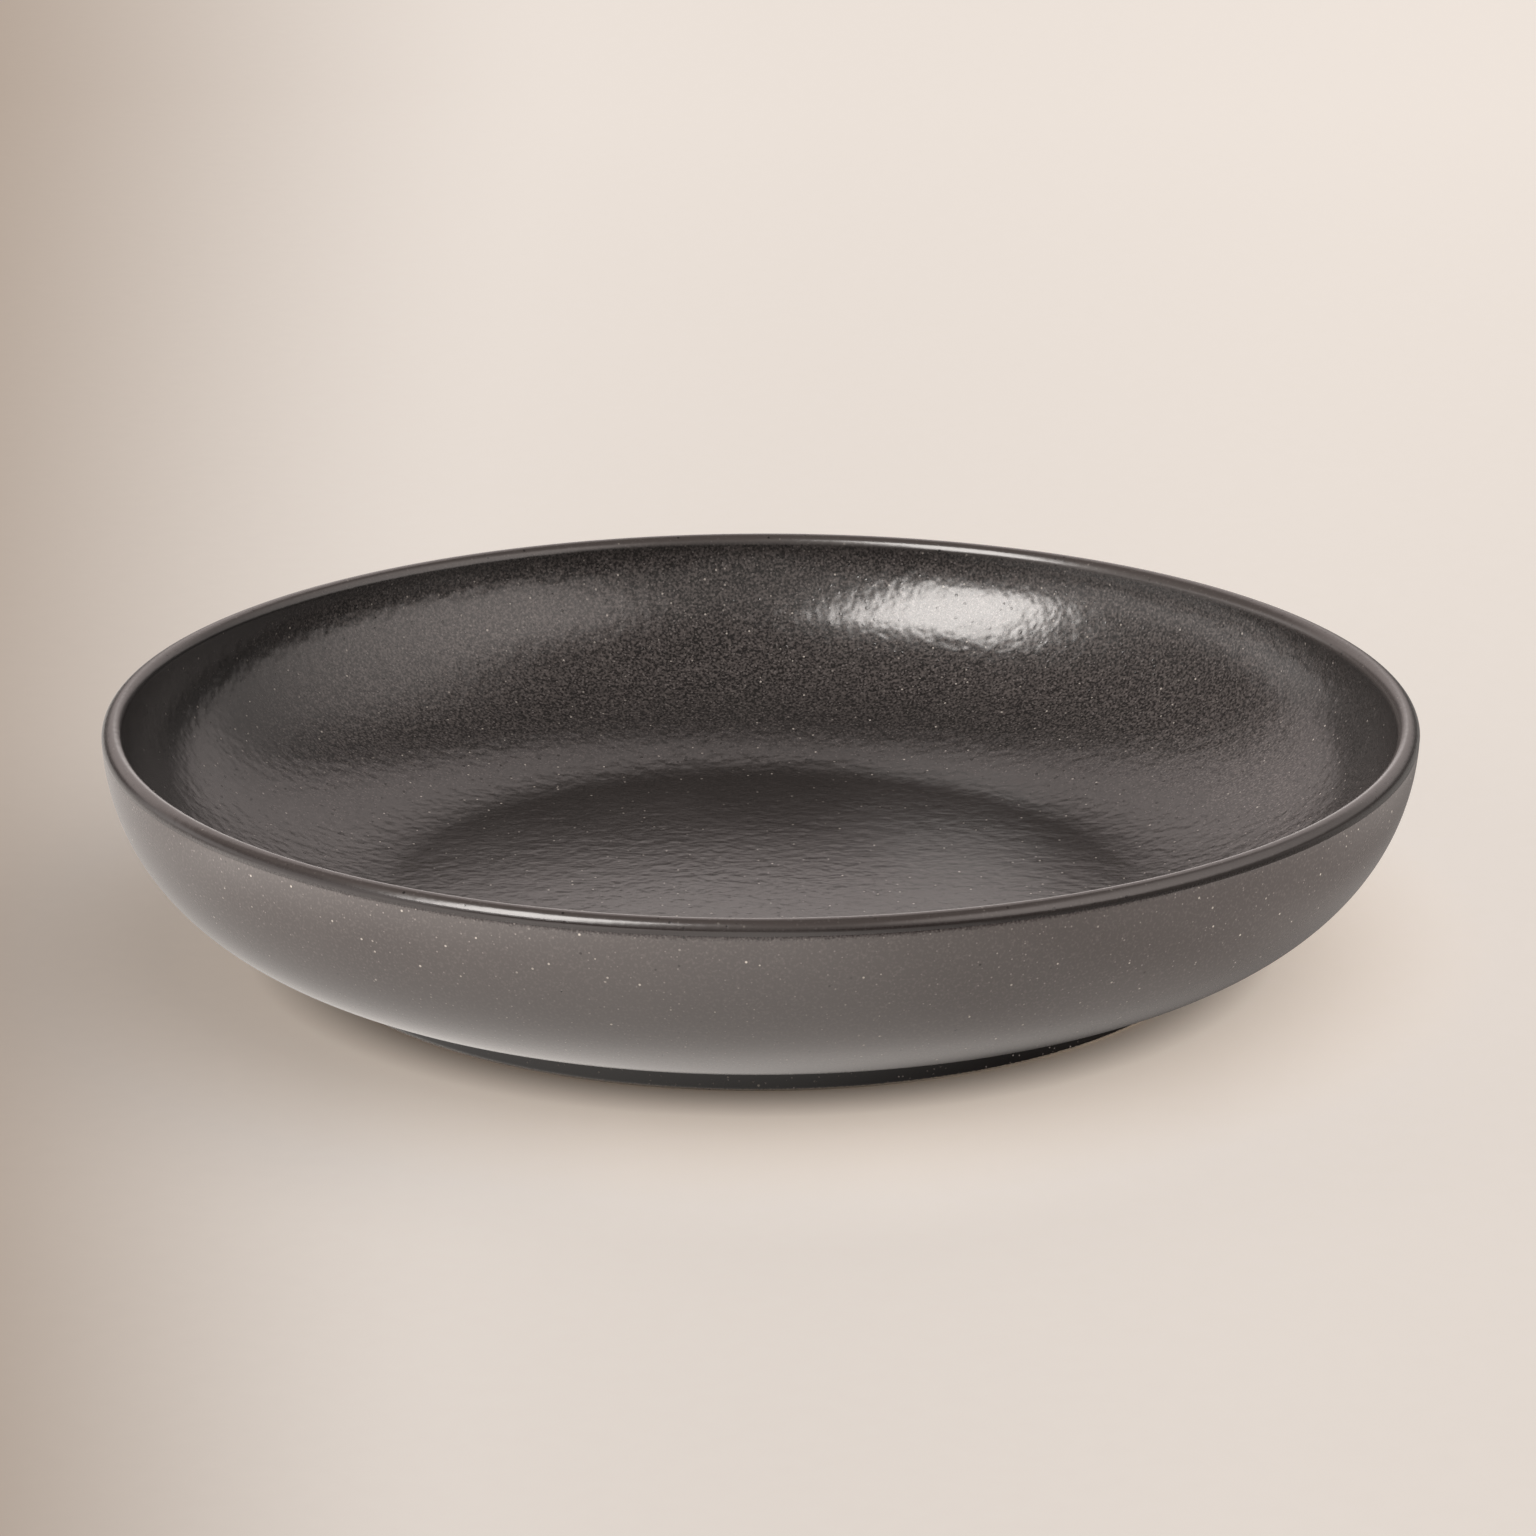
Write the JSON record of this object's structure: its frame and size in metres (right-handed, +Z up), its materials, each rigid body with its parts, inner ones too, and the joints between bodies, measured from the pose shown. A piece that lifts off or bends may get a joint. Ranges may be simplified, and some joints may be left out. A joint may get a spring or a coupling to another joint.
{
  "type": "serving bowl",
  "caption": "Wide, shallow round stoneware serving bowl with a rounded lip, curved wall and set-back foot ring, dark glossy speckled glaze inside and satin grey glaze outside.",
  "frame": {"origin": "centre of the circle that the foot ring stands on, at table level", "axes": "+Z up along the bowl's axis of revolution; X and Y are level and interchangeable"},
  "size_m": [0.32, 0.32, 0.0583],
  "materials": {
    "stoneware": "matte",
    "bare_stoneware": "matte",
    "gloss_glaze": "gloss",
    "satin_glaze": "satin",
    "base_satin_glaze": "satin"
  },
  "bodies": {
    "root": {"clay_body": "stoneware", "foot_ring": "bare_stoneware", "inside_glaze": "gloss_glaze", "outside_glaze": "satin_glaze", "base_glaze": "base_satin_glaze"}
  },
  "joints": []
}
